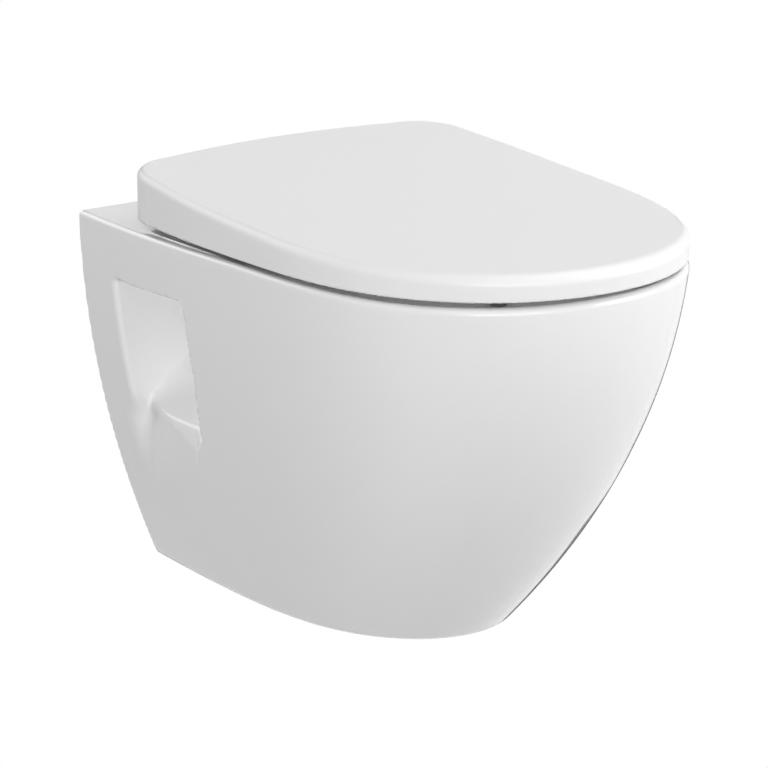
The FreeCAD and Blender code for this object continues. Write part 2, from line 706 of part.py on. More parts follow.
# ---------------------------------------------------------------- hinge hardware
alongHinge = Rotation(Vector(0, 1, 0), 90)
nodes = [pan, lid, ring, seatBuffers, lidBufferGroup]
pinLength = "barrelLength + 2 * knuckleGap + 2 * knuckleLength - 2 * pinInset"
for side, sign in (("left", "-1"), ("right", "1")):
    x = f"{sign} * hingeSpacing / 2"
    disc = turned(f"hinge_base_{side}", [
        ("boltRadius + runningGap", "0"),
        ("baseDiscRadius", "0"),
        ("baseDiscRadius", "baseDiscHeight - 1"),
        ("baseDiscRadius - 1", "baseDiscHeight"),
        ("boltRadius + runningGap", "baseDiscHeight"),
    ])
    nodes.append(put(disc, x, "0 - hingeBack", "rimHeight"))

    block = add("PartDesign::Body", f"hinge_block_{side}")
    foot = "rimHeight + baseDiscHeight - axisHeight"
    profile = polygonSketch(block, f"blockProfile{side}", "YZ_Plane", [
        ("axisBack - hingeBack - pillarDepth / 2", foot),
        ("axisBack - hingeBack + pillarDepth / 2", foot),
        ("axisBack - hingeBack + pillarDepth / 2", "0 - barrelRadius"),
        ("0", "0 - barrelRadius"),
        ("0", "barrelRadius"),
        ("axisBack - hingeBack", "barrelRadius"),
        ("axisBack - hingeBack - pillarDepth / 2", "0"),
    ])
    pad = block.newObject("PartDesign::Pad", f"blockPad{side}")
    pad.Profile = profile
    pad.Midplane = True
    bind(pad, Length=cell("barrelLength"))
    barrel = block.newObject("PartDesign::Pad", f"barrelPad{side}")
    barrel.Profile = circleSketch(block, f"barrelCircle{side}", "YZ_Plane", "0", "0", "barrelRadius")
    barrel.Midplane = True
    bind(barrel, Length=cell("barrelLength"))
    bore = block.newObject("PartDesign::Pocket", f"pinBore{side}")
    bore.Profile = circleSketch(block, f"pinCircle{side}", "YZ_Plane", "0", "0", "pinRadius + runningGap / 2")
    bore.Midplane = True
    bind(bore, Length=cell("barrelLength + 2"))
    put(block, x, "0 - axisBack", "axisHeight")
    headRoom = cylinder(f"headRoom_{side}", "boltHeadRadius + 1", "boltHeadHeight + 1")
    put(headRoom, x, "0 - hingeBack", "rimHeight + baseDiscHeight")
    block.Label = f"blockBody_{side}"
    nodes.append(cut(f"hinge_block_{side}", block, headRoom))

    pin = turned(f"hinge_pin_{side}", [
        ("0", f"0 - ( {pinLength} ) / 2"),
        ("pinRadius - 0.5", f"0 - ( {pinLength} ) / 2"),
        ("pinRadius", f"0.5 - ( {pinLength} ) / 2"),
        ("pinRadius", f"( {pinLength} ) / 2 - 0.5"),
        ("pinRadius - 0.5", f"( {pinLength} ) / 2"),
        ("0", f"( {pinLength} ) / 2"),
    ])
    nodes.append(put(pin, x, "0 - axisBack", "axisHeight", alongHinge))

# one side damps the ring and the other the lid; plain bushes carry the other two knuckles
ringSleeveX = "hingeSpacing / 2 - barrelLength / 2 - knuckleGap - knuckleLength"
lidSleeveX = "hingeSpacing / 2 + barrelLength / 2 + knuckleGap"
for label, x in (
    ("seat_damper", ringSleeveX),
    ("seat_bush", f"0 - ( {ringSleeveX} ) - knuckleLength"),
    ("lid_damper", f"0 - ( {lidSleeveX} ) - knuckleLength"),
    ("lid_bush", lidSleeveX),
):
    bore = "pinRadius + runningGap"
    if "damper" in label:
        corners = [(bore, "0"), ("damperRadius", "0"), ("damperRadius", "knuckleLength / 2 - 2"),
                   ("damperRadius - 1", "knuckleLength / 2 - 1"), ("damperRadius", "knuckleLength / 2"),
                   ("damperRadius", "knuckleLength"), (bore, "knuckleLength")]
    else:
        corners = [(bore, "0"), ("damperRadius", "0"), ("damperRadius", "knuckleLength"),
                   (bore, "knuckleLength")]
    nodes.append(put(turned(label, corners), x, "0 - axisBack", "axisHeight", alongHinge))


def pair(label, first):
    """Two like pieces, one each side, in one node."""
    first.Label = label + "Right"
    nodes.append(group(label, [first, mirrored(first)]))


bolt = turned("hingeBolt", [
    ("0", "0 - boltLength"),
    ("boltRadius - 0.8", "0 - boltLength"),
    ("boltRadius", "0.8 - boltLength"),
    ("boltRadius", "0"),
    ("boltHeadRadius", "0"),
    ("boltHeadRadius", "boltHeadHeight - 0.6"),
    ("boltHeadRadius - 0.6", "boltHeadHeight"),
    ("0", "boltHeadHeight"),
])
pair("hinge_bolts", put(bolt, "hingeSpacing / 2", "0 - hingeBack", "rimHeight + baseDiscHeight"))

grommet = turned("grommet", [
    ("boltRadius + runningGap", "0 - grommetFlangeHeight"),
    ("grommetFlangeRadius", "0 - grommetFlangeHeight"),
    ("grommetFlangeRadius", "0"),
    ("hingeHole / 2 - runningGap", "0"),
    ("hingeHole / 2 - runningGap", "deckWall"),
    ("boltRadius + runningGap", "deckWall"),
])
pair("hinge_grommets", put(grommet, "hingeSpacing / 2", "0 - hingeBack", "rimHeight - deckWall"))

washer = turned("hingeWasher", [
    ("boltRadius + 0.2", "0"),
    ("hingeWasherRadius", "0"),
    ("hingeWasherRadius", "hingeWasherHeight"),
    ("boltRadius + 0.2", "hingeWasherHeight"),
])
washerZ = "rimHeight - deckWall - grommetFlangeHeight - hingeWasherHeight"
pair("hinge_washers", put(washer, "hingeSpacing / 2", "0 - hingeBack", washerZ))

hub = turned("wingNutHub", [
    ("boltRadius + runningGap", "0 - wingNutHeight"),
    ("wingNutRadius - 1", "0 - wingNutHeight"),
    ("wingNutRadius", "0 - 2"),
    ("wingNutRadius + 1", "0"),
    ("boltRadius + runningGap", "0"),
])
put(hub, "hingeSpacing / 2", "0 - hingeBack", washerZ)
wings = add("PartDesign::Body", "wings")
wingSketch = polygonSketch(wings, "wingProfile", "XZ_Plane", [
    ("boltRadius + 1.5", "0 - wingNutHeight + 1"),
    ("wingSpan - 3", "0 - wingNutHeight - 3"),
    ("wingSpan", "0 - wingNutHeight"),
    ("wingSpan - 2", "0 - 4"),
    ("boltRadius + 1.5", "0 - 2"),
])
wingPad = wings.newObject("PartDesign::Pad", "wingPad")
wingPad.Profile = wingSketch
wingPad.Midplane = True
bind(wingPad, Length=cell("wingThickness"))
put(wings, "hingeSpacing / 2", "0 - hingeBack", washerZ)
otherWing = add("Part::Mirroring", "otherWing")
otherWing.Source = wings
otherWing.Normal = Vector(1, 0, 0)
bind(otherWing, Base__x=cell("hingeSpacing / 2"))
pair("hinge_wing_nuts", joined("wingNut", [hub, wings, otherWing]))

# ---------------------------------------------------------------- wall fixings
outward = Rotation(Vector(1, 0, 0), 90)
sleeve = turned("fixingSleeve", [
    ("fixingBore / 2", "0"),
    ("fixingHole / 2 - sleeveGap", "0"),
    ("fixingHole / 2 - sleeveGap", "flangeDepth"),
    ("collarRadius", "flangeDepth"),
    ("collarRadius", "flangeDepth + collarDepth"),
    ("fixingBore / 2", "flangeDepth + collarDepth"),
])
pair("wall_sleeves", put(sleeve, "fixingSpacing / 2", "0", "0", outward))

wallWasher = turned("wallWasher", [
    ("fixingBore / 2", "0"),
    ("capRadius", "0"),
    ("capRadius", "fixingWasherDepth"),
    ("fixingBore / 2", "fixingWasherDepth"),
])
washerY = "0 - flangeDepth - collarDepth"
pair("wall_washers", put(wallWasher, "fixingSpacing / 2", washerY, "0", outward))

nutY = "0 - flangeDepth - collarDepth - fixingWasherDepth"
prism = add("Part::Prism", "wallNutPrism")
prism.Polygon = 6
bind(prism, Circumradius=cell("fixingNutRadius"), Height=cell("fixingNutDepth"))
put(prism, "fixingSpacing / 2", nutY, "0", outward)
thread = cylinder("wallNutThread", "fixingBore / 2 - 0.5", "fixingNutDepth + 2")
put(thread, "fixingSpacing / 2", nutY + " + 1", "0", outward)
pair("wall_nuts", cut("wallNut", prism, thread))

cap = turned("wallCap", [
    ("capRadius - capWall", "0"),
    ("capRadius", "0"),
    ("capRadius", "capDepth - capRound"),
    ("capRadius - capRound", "capDepth"),
    ("0", "capDepth"),
    ("0", "capDepth - capWall"),
    ("capRadius - capRound - capWall / 2", "capDepth - capWall"),
    ("capRadius - capWall", "capDepth - capRound - capWall / 2"),
])
pair("wall_caps", put(cap, "fixingSpacing / 2", nutY, "0", outward))

# ---------------------------------------------------------------- checks and export
doc.recompute()
for thing in doc.Objects:
    if "Invalid" in thing.State or "Error" in thing.State:
        raise RuntimeError(f"{thing.Label} failed: {thing.State}")
os.makedirs("parts", exist_ok=True)
for node in nodes:
    shape = node.Shape
    if shape.isNull() or not shape.isValid():
        raise RuntimeError(f"{node.Label} has no valid shape")
for node in nodes:
    node.Shape.exportStep(f"parts/{node.Label}.step")
    print(f"{node.Label:20s} {len(node.Shape.Solids)} solid(s) {node.Shape.Volume / 1000:9.2f} cm3")
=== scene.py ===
import json
from math import radians
import bmesh
import bpy
import numpy as np
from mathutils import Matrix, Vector


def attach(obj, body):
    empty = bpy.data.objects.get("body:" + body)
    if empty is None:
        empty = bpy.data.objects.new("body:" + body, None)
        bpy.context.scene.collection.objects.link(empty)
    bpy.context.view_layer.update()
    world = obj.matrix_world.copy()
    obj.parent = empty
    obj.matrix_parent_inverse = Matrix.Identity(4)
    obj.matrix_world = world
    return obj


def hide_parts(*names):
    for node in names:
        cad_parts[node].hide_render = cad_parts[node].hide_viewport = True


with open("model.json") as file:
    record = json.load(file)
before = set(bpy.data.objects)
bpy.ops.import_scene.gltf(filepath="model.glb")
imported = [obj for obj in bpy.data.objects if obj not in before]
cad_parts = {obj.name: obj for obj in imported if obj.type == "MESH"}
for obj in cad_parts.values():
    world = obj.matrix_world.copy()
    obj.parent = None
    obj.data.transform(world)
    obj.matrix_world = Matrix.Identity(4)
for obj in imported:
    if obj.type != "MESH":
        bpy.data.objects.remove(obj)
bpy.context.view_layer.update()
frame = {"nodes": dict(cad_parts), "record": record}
nodes = frame["nodes"]
print("frame loaded:", len(nodes), "nodes")


# camera, places in metres
cameraSettings = {
    "place": (-2.0977, -3.0742, 0.9293),
    "aim": (-0.0377, -0.2710, -0.0360),
    "lens": 202.2,
    "sensor": 36,
    "farthest": 50,
}


def placeCamera():
    lensData = bpy.data.cameras.new("photoCamera")
    lensData.lens = cameraSettings["lens"]
    lensData.sensor_width = cameraSettings["sensor"]
    lensData.clip_end = cameraSettings["farthest"]
    camera = bpy.data.objects.new("photoCamera", lensData)
    camera.location = cameraSettings["place"]
    looking = Vector(cameraSettings["aim"]) - camera.location
    camera.rotation_euler = looking.to_track_quat("-Z", "Y").to_euler()
    bpy.context.scene.collection.objects.link(camera)
    bpy.context.scene.camera = camera


placeCamera()
print("camera placed")


# studio: floor, surroundings, lamps and dark cards
studioSettings = {
    "floorHeight": -1.1,
    "floorSize": 30.0,
    "floorColour": (0.42, 0.42, 0.42),
    "floorRoughness": 0.9,
    "ambient": 0.10,  # the world's light on the object, seen directly it is 1
    # name, place, width and height, power, what it points at, lights matt surfaces, shows in gloss
    "lamps": [
        ("topLamp", (0.9, -0.9, 2.4), (1.8, 1.8), 13.0, (0, -0.25, 0), True, True),
        ("frontRightLamp", (2.4, -2.4, 1.1), (2.0, 2.0), 54.0, (0, -0.25, -0.05), True, True),
        ("rearLamp", (-0.7, 2.0, 1.5), (2.2, 2.2), 16.0, (0, -0.25, 0.05), True, True),
        ("highLeftLamp", (-2.2, -0.6, 2.0), (1.5, 1.5), 18.0, (0, -0.25, 0), True, False),
        ("fillLeft", (-1.9, -2.8, 0.7), (1.5, 1.5), 52.5, (0, -0.25, -0.05), True, False),
        ("fillRight", (3.0, -0.8, 0.7), (1.5, 1.5), 30.0, (0, -0.25, -0.05), True, False),
        ("edgeStrip", (-1.3, -3.35, 0.75), (3.4, 0.5), 26.0, (0, -0.25, 0), False, True),
    ],
    "softFills": ("fillLeft", "fillRight"),  # only lid and seat cast shadows from these
    "cardColour": (0.01, 0.01, 0.01),
    # just outside the picture, only gloss sees them: name, place, width, height, rotation in degrees
    "cards": [
        ("rightCard", (1.954, 1.122, -0.3), 0.3, 3.0, (90, 0, -36)),
        ("leftCard", (0.696, 2.046, -0.3), 0.3, 3.0, (90, 0, -36)),
        ("lowCard", (1.2, 1.53, -1.09), 1.6, 1.2, (0, 0, -36)),
    ],
}


def newMaterial(name):
    material = bpy.data.materials.new(name)
    material.use_nodes = True
    tree = material.node_tree
    return material, tree, tree.nodes["Principled BSDF"]


def seenDirectly(tree):
    # 1 for rays from the camera, from gloss and through glass, 0 for the light that falls on the object
    path = tree.nodes.new("ShaderNodeLightPath")
    first = tree.nodes.new("ShaderNodeMath")
    first.operation = "MAXIMUM"
    second = tree.nodes.new("ShaderNodeMath")
    second.operation = "MAXIMUM"
    tree.links.new(path.outputs["Is Camera Ray"], first.inputs[0])
    tree.links.new(path.outputs["Is Glossy Ray"], first.inputs[1])
    tree.links.new(first.outputs[0], second.inputs[0])
    tree.links.new(path.outputs["Is Transmission Ray"], second.inputs[1])
    return second.outputs[0]


def flatSheet(name, wide, tall, height, material):
    x, y = wide / 2, tall / 2
    mesh = bpy.data.meshes.new(name)
    mesh.from_pydata([(-x, -y, height), (x, -y, height), (x, y, height), (-x, y, height)], [], [(0, 1, 2, 3)])
    mesh.materials.append(material)
    sheet = bpy.data.objects.new(name, mesh)
    bpy.context.scene.collection.objects.link(sheet)
    return sheet


def makeStudio():
    scene = bpy.context.scene
    scene.view_settings.view_transform = "Standard"
    world = bpy.data.worlds.new("studio")
    scene.world = world
    world.use_nodes = True
    tree = world.node_tree
    background = tree.nodes["Background"]
    background.inputs["Color"].default_value = (1, 1, 1, 1)
    strength = tree.nodes.new("ShaderNodeMapRange")
    tree.links.new(seenDirectly(tree), strength.inputs["Value"])
    strength.inputs["To Min"].default_value = studioSettings["ambient"]
    strength.inputs["To Max"].default_value = 1.0
    tree.links.new(strength.outputs["Result"], background.inputs["Strength"])

    material, tree, shader = newMaterial("paleFloor")
    shader.inputs["Base Color"].default_value = (*studioSettings["floorColour"], 1)
    shader.inputs["Roughness"].default_value = studioSettings["floorRoughness"]
    glow = tree.nodes.new("ShaderNodeEmission")
    mix = tree.nodes.new("ShaderNodeMixShader")
    tree.links.new(seenDirectly(tree), mix.inputs["Fac"])
    tree.links.new(shader.outputs[0], mix.inputs[1])
    tree.links.new(glow.outputs[0], mix.inputs[2])
    tree.links.new(mix.outputs[0], tree.nodes["Material Output"].inputs["Surface"])
    side = studioSettings["floorSize"]
    floor = flatSheet("floor", side, side, studioSettings["floorHeight"], material)

    for name, place, size, power, target, onMatt, inGloss in studioSettings["lamps"]:
        lampData = bpy.data.lights.new(name, "AREA")
        lampData.shape = "ELLIPSE"
        lampData.size, lampData.size_y = size
        lampData.energy = power
        lamp = bpy.data.objects.new(name, lampData)
        lamp.location = place
        lamp.rotation_euler = (Vector(target) - lamp.location).to_track_quat("-Z", "Y").to_euler()
        lamp.visible_diffuse, lamp.visible_glossy = onMatt, inGloss
        scene.collection.objects.link(lamp)

    black, tree, shader = newMaterial("blackCard")
    shader.inputs["Base Color"].default_value = (*studioSettings["cardColour"], 1)
    shader.inputs["Roughness"].default_value = 1.0
    for name, place, wide, tall, turn in studioSettings["cards"]:
        card = flatSheet(name, wide, tall, 0, black)
        card.location = place
        card.rotation_euler = [radians(angle) for angle in turn]
        for ray in ("camera", "diffuse", "transmission", "shadow"):
            setattr(card, "visible_" + ray, False)


makeStudio()
print("studio made")


# finishes: a faint cloudiness in the colour and a slight ripple in the surface
glazeSettings = {"scale": 14.0, "detail": 2.0, "shade": 0.985, "rippleDepth": 0.001, "coatRoughness": 0.03}


def glaze(name, colour, roughness, ripple, coat):
    material, tree, shader = newMaterial(name)
    place = tree.nodes.new("ShaderNodeTexCoord")
    noise = tree.nodes.new("ShaderNodeTexNoise")
    noise.inputs["Scale"].default_value = glazeSettings["scale"]
    noise.inputs["Detail"].default_value = glazeSettings["detail"]
    tree.links.new(place.outputs["Object"], noise.inputs["Vector"])
    ramp = tree.nodes.new("ShaderNodeMixRGB")
    ramp.inputs["Color1"].default_value = (*[c * glazeSettings["shade"] for c in colour], 1)
    ramp.inputs["Color2"].default_value = (*colour, 1)
    tree.links.new(noise.outputs["Fac"], ramp.inputs["Fac"])
    tree.links.new(ramp.outputs["Color"], shader.inputs["Base Color"])
    shader.inputs["Roughness"].default_value = roughness
    shader.inputs["Coat Weight"].default_value = coat
    shader.inputs["Coat Roughness"].default_value = glazeSettings["coatRoughness"]
    bump = tree.nodes.new("ShaderNodeBump")
    bump.inputs["Strength"].default_value = ripple
    bump.inputs["Distance"].default_value = glazeSettings["rippleDepth"]
    tree.links.new(noise.outputs["Fac"], bump.inputs["Height"])
    tree.links.new(bump.outputs["Normal"], shader.inputs["Normal"])
    return material


finishes = {  # for each slot: name, colour, roughness, ripple, coat
    "china": glaze("whiteGlaze", (0.90, 0.90, 0.90), 0.10, 0.02, 0.5),
    "lid": glaze("lidPlastic", (0.90, 0.90, 0.90), 0.34, 0.03, 0.0),
    "ring": glaze("ringPlastic", (0.90, 0.90, 0.90), 0.34, 0.03, 0.0),
    "buffer": glaze("bufferRubber", (0.12, 0.12, 0.12), 0.6, 0.05, 0.0),
    "hinge_metal": glaze("polishedChrome", (0.80, 0.80, 0.81), 0.10, 0.02, 0.0),
    "steel": glaze("zincSteel", (0.52, 0.53, 0.54), 0.35, 0.1, 0.0),
    "damper": glaze("darkPlastic", (0.04, 0.04, 0.045), 0.5, 0.1, 0.0),
    "grommet": glaze("blackRubber", (0.02, 0.02, 0.02), 0.7, 0.1, 0.0),
    "fitting": glaze("fittingPlastic", (0.88, 0.88, 0.88), 0.25, 0.05, 0.0),
}
for slotName in ("hinge_metal", "steel"):
    finishes[slotName].node_tree.nodes["Principled BSDF"].inputs["Metallic"].default_value = 1.0
print("finishes made")


# smooth bodies from distance fields, in millimetres as in the part's source
meshSettings = {
    "evenStep": 0.2, "slopeStep": 0.15,
    "firstSettle": (0.7, 1),  # farthest move as a share of the pitch, rounds
    "lastSettle": (0.6, 2),  # farthest move in millimetres, rounds
}


def roundMax(first, second, radius):
    a, b = first + radius, second + radius
    return np.minimum(np.maximum(a, b), 0) + np.hypot(np.maximum(a, 0), np.maximum(b, 0)) - radius


def roundMin(first, second, radius):
    return -roundMax(-first, -second, radius)


def between(value, start, end):
    return np.maximum(start - value, value - end)


def ease(value, start, end):
    share = np.clip((value - start) / (end - start), 0, 1)
    return share * share * (3 - 2 * share)


def evened(form, x, y, z):
    # turns any smooth form into a distance near its zero surface
    step = meshSettings["evenStep"]
    value = form(x, y, z)
    slopes = [form(x + step, y, z) - value, form(x, y + step, z) - value, form(x, y, z + step) - value]
    return value * step / np.sqrt(slopes[0] ** 2 + slopes[1] ** 2 + slopes[2] ** 2 + 1e-12)


def pathDistance(points, u, v):
    best = None
    for (u0, v0), (u1, v1) in zip(points, points[1:]):
        du, dv = u1 - u0, v1 - v0
        along = np.clip(((u - u0) * du + (v - v0) * dv) / (du * du + dv * dv), 0, 1)
        gap = np.hypot(u - u0 - along * du, v - v0 - along * dv)
        best = gap if best is None else np.minimum(best, gap)
    return best


def surfaceNet(field, low, high, pitch):
    # one vertex in each grid cell that the surface crosses, one quad across each crossed grid edge
    axes = [np.arange(low[i], high[i] + pitch, pitch) for i in range(3)]
    grid = np.concatenate([field(part[:, None, None], axes[1][None, :, None], axes[2][None, None, :])
                           for part in np.array_split(axes[0], 8)])
    inside = grid < 0
    shape = [n - 1 for n in grid.shape]
    corners = [inside[i:i + shape[0], j:j + shape[1], k:k + shape[2]]
               for i in (0, 1) for j in (0, 1) for k in (0, 1)]
    filled = sum(c.astype(np.int8) for c in corners)
    cells = np.argwhere((filled > 0) & (filled < 8))
    total = np.zeros((len(cells), 3))
    count = np.zeros(len(cells))
    for axis in range(3):
        others = [a for a in range(3) if a != axis]
        for p in (0, 1):
            for q in (0, 1):
                start = cells.copy()
                start[:, others[0]] += p
                start[:, others[1]] += q
                end = start.copy()
                end[:, axis] += 1
                a, b = grid[tuple(start.T)], grid[tuple(end.T)]
                crossed = (a < 0) != (b < 0)
                spot = start.astype(float)
                spot[:, axis] += np.where(crossed, a / np.where(crossed, a - b, 1), 0)
                total += spot * crossed[:, None]
                count += crossed
    verts = total / count[:, None] * pitch + np.array(low)
    number = np.full(shape, -1)
    number[tuple(cells.T)] = np.arange(len(cells))
    faces = []
    for axis in range(3):
        others = [(axis + 1) % 3, (axis + 2) % 3]
        first = np.moveaxis(inside, axis, 0)[:-1]
        second = np.moveaxis(inside, axis, 0)[1:]
        edge = np.argwhere(first != second)
        place = np.empty_like(edge)
        place[:, axis] = edge[:, 0]
        rest = [a for a in range(3) if a != axis]
        place[:, rest[0]], place[:, rest[1]] = edge[:, 1], edge[:, 2]
        ring = []
        for p, q in ((0, 0), (1, 0), (1, 1), (0, 1)):
            cell = place.copy()
            cell[:, others[0]] -= p
            cell[:, others[1]] -= q
            ring.append(number[tuple(cell.T)])
        ring = np.stack(ring, 1)
        leaving = inside[tuple(place.T)]
        faces.append(np.where(leaving[:, None], ring, ring[:, ::-1]))
    return verts, np.concatenate(faces)


def slopeOf(field, verts):
    step = meshSettings["slopeStep"]
    slopes = []
    for axis in range(3):
        ahead, behind = verts.copy(), verts.copy()
        ahead[:, axis] += step
        behind[:, axis] -= step
        slopes.append((field(*ahead.T) - field(*behind.T)) / (2 * step))
    return np.stack(slopes, 1)


def settle(field, verts, reach, rounds):
    for turn in range(rounds):
        slope = slopeOf(field, verts)
        move = -field(*verts.T)[:, None] * slope / (np.sum(slope ** 2, 1)[:, None] + 1e-9)
        size = np.linalg.norm(move, axis=1)[:, None]
        verts = verts + move * np.minimum(1, reach / (size + 1e-9))
    return verts


# pan
panSettings = {
    "rim": 80.0, "height": 325.3,
    # at the rim, at the base and bulge halfway: half width, half width at the wall, reach
    "half": (177.7, 100.1, 12.6), "wallHalf": (165.8, 89.4, 17.0), "reach": (521.0, 345.6, 41.3),
    "widest": (227.6, 165.4), "fullness": (3.6, 2.6), "flank": 1.6,
    "sideRoll": 4.5, "frontRoll": 6.5, "rollRange": (330, 500), "baseRoll": 6.0, "wallEdge": 2.0,
    # the rim's outer edge rises, from the wall forwards and from inside the skin outwards
    "rimLift": 3.8, "liftRange": (60, 280), "liftDepth": (-16, -7),
    "skin": 11.0, "deck": 14.0, "innerSkin": 150.8, "hollowFront": 215, "hollowRoll": 4,
    "hollowEdge": 1.5,
    # bowl's mouth as half width, front, rear and middle, then the lip over it
    "mouth": (131.0, 479.0, 150.0, 300.0), "lip": 30.0, "sump": 14.0, "lipRoll": 8.0,
    "lipOverlap": 4, "underLipRoll": 5, "sumpRoll": 8,
    # bowl under its lip, from the lip to the sump: share of the depth, half width, front, rear
    "bowl": ((0.0, 141, 485, 140), (0.18, 131, 468, 176), (0.39, 104.8, 435, 196), (0.6, 70.7, 383, 208),
             (0.78, 47.2, 329, 212), (0.9, 38, 301, 212), (1.0, 24.9, 283, 224)),
    "bowlSteps": 61,
    # trap: its bore, wall, bends and angle of climb, then its start, first bend and end as y
    "waterway": 29.0, "trapWall": 9, "trapBend": 50.0, "trapClimb": np.pi / 3,
    "trapStart": -262.0, "trapTurn": -190, "trapEnd": -50.0, "trapPoints": 7,
    # floor of the recess: an arch, and a steep sill that comes out to the skin towards the front
    "archTop": -22.5, "archFall": 0.00345,
    "sillPlace": (131.0, 0.18), "sillHeight": (-86.0, 0.114), "sillLean": 0.17, "sillRoll": 2.5,
    # window: top edge with its rise to the front, front edge with its lean below a height
    "windowTop": (29.0, 0.041), "windowFront": (168.3, 0.155, -40.0),
    "frontEdgeRoll": 4, "ceilingRoll": 7, "flangeRoll": 4, "bowlSideRoll": 6,
    # rounding of the window's outer edge: everywhere, more at the rear, more low down at the rear
    "windowEdge": (1.8, 4.0, 16), "edgeRear": (-90, -60), "edgeLow": (70, 100), "edgeLowRear": (-160, -140),
    # wall fixings: flange, pocket as place, radius and back, hole as place, radius and depth
    "flange": 56.0, "pocket": (90.0, 14.6, 43.0), "pocketFront": 5, "pocketRoll": 2, "pocketEdge": 1.5,
    "fixingHole": (90, 12, 45),
    # hinge holes in the deck: place, distance from the wall and radius
    "hingeHole": (77.5, 114, 8), "hingeCut": 2,
    "duct": 36.5, "inletHeight": 35.0,
    # flush way into the bowl: radius at the wall, how much wider, lower and flatter it gets, from where to where
    "inlet": 27.5, "throatWide": 11, "throatDrop": 0.75, "throatFlat": 13.7, "throatRange": (60, 162),
    "throatEnd": 163, "throatScale": 14,
    "spigot": 51.0, "spigotDepth": 56, "spigotRoll": 3,
    "outlet": 42.0, "outletHeight": -100.0, "outletDepth": 51,
    "pitch": 2.5, "triangles": 190000, "box": ((-184, -526, -250), (184, 5, 85)),
}


def panSkin(x, y, z):
    s = panSettings
    share = (s["rim"] - z) / s["height"]

    def swell(top, bottom, bulge=0.0):
        return top + (bottom - top) * share + 4 * bulge * share * (1 - share)

    wide, atWall, tip = swell(*s["half"]), swell(*s["wallHalf"]), swell(*s["reach"])
    widest, fullness = swell(*s["widest"]), swell(*s["fullness"])
    side, back = np.abs(x), -y
    flank = atWall + (wide - atWall) * (1 - np.maximum(1 - back / widest, 0) ** s["flank"])
    nose = np.maximum(back - widest, 0) / (tip - widest)
    front = wide * (np.sqrt((side / wide) ** 2 + nose ** fullness) - 1)
    return np.where(back < widest, side - flank, front)


def egg(x, y, halfWidth, front, rear, middle):
    reach = np.where(-y > middle, front - middle, middle - rear)
    return halfWidth * (np.hypot(x / halfWidth, (y + middle) / reach) - 1)


shares, widths, fronts, rears = np.array(panSettings["bowl"]).T
fine = np.linspace(0, 1, panSettings["bowlSteps"])


def eased(values):
    # a smooth curve through the table's values
    slopes = np.gradient(values, shares)
    i = np.clip(np.searchsorted(shares, fine, side="right") - 1, 0, len(shares) - 2)
    gap = shares[i + 1] - shares[i]
    t = (fine - shares[i]) / gap
    return ((2 * t**3 - 3 * t**2 + 1) * values[i] + (t**3 - 2 * t**2 + t) * gap * slopes[i]
            + (3 * t**2 - 2 * t**3) * values[i + 1] + (t**3 - t**2) * gap * slopes[i + 1])


fineWidths, fineFronts, fineRears = eased(widths), eased(fronts), eased(rears)
lipBottom = panSettings["rim"] - panSettings["lip"]
baseHeight = panSettings["rim"] - panSettings["height"]
sumpBottom = baseHeight + panSettings["sump"]


def bowlSpace(x, y, z):
    share = (lipBottom - z) / (lipBottom - sumpBottom)
    width, front, rear = (np.interp(share, fine, row) for row in (fineWidths, fineFronts, fineRears))
    return egg(x, y, width, front, rear, np.minimum(panSettings["mouth"][3], (front + rear) / 2))


def mouthSpace(x, y, z):
    return egg(x, y, *panSettings["mouth"]) + 0 * z


def trapRoute():
    # (y, z) points of the waterway: from the sump, up to the crest and level to the outlet
    s = panSettings
    bend, climb = s["trapBend"], s["trapClimb"]
    low = sumpBottom + s["waterway"] + 1
    high = s["outletHeight"] + s["outlet"] - s["waterway"] - 2
    straight = (high - low - 2 * bend * (1 - np.cos(climb))) / np.sin(climb)
    points = [(s["trapStart"], low)]
    angles = np.linspace(0, climb, s["trapPoints"])
    points += [(s["trapTurn"] + bend * np.sin(a), low + bend * (1 - np.cos(a))) for a in angles]
    points.append((points[-1][0] + straight * np.cos(climb), points[-1][1] + straight * np.sin(climb)))
    start = points[-1]
    points += [(start[0] + bend * (np.sin(climb) - np.sin(a)), start[1] + bend * (np.cos(a) - np.cos(climb)))
               for a in angles[::-1][1:]]
    return points + [(s["trapEnd"], high)]


trapPoints = trapRoute()


def recessFloor(x, y, z, wall):
    s = panSettings
    arch = (z - s["archTop"] + s["archFall"] * x ** 2) / np.hypot(1, 2 * s["archFall"] * x) + wall
    ahead = -y - s["flange"]
    place = s["sillPlace"][0] + s["sillPlace"][1] * ahead
    height = s["sillHeight"][0] + s["sillHeight"][1] * ahead
    sill = np.abs(x) - place - (height - z) * s["sillLean"] + wall
    return -roundMax(arch, sill, s["sillRoll"])


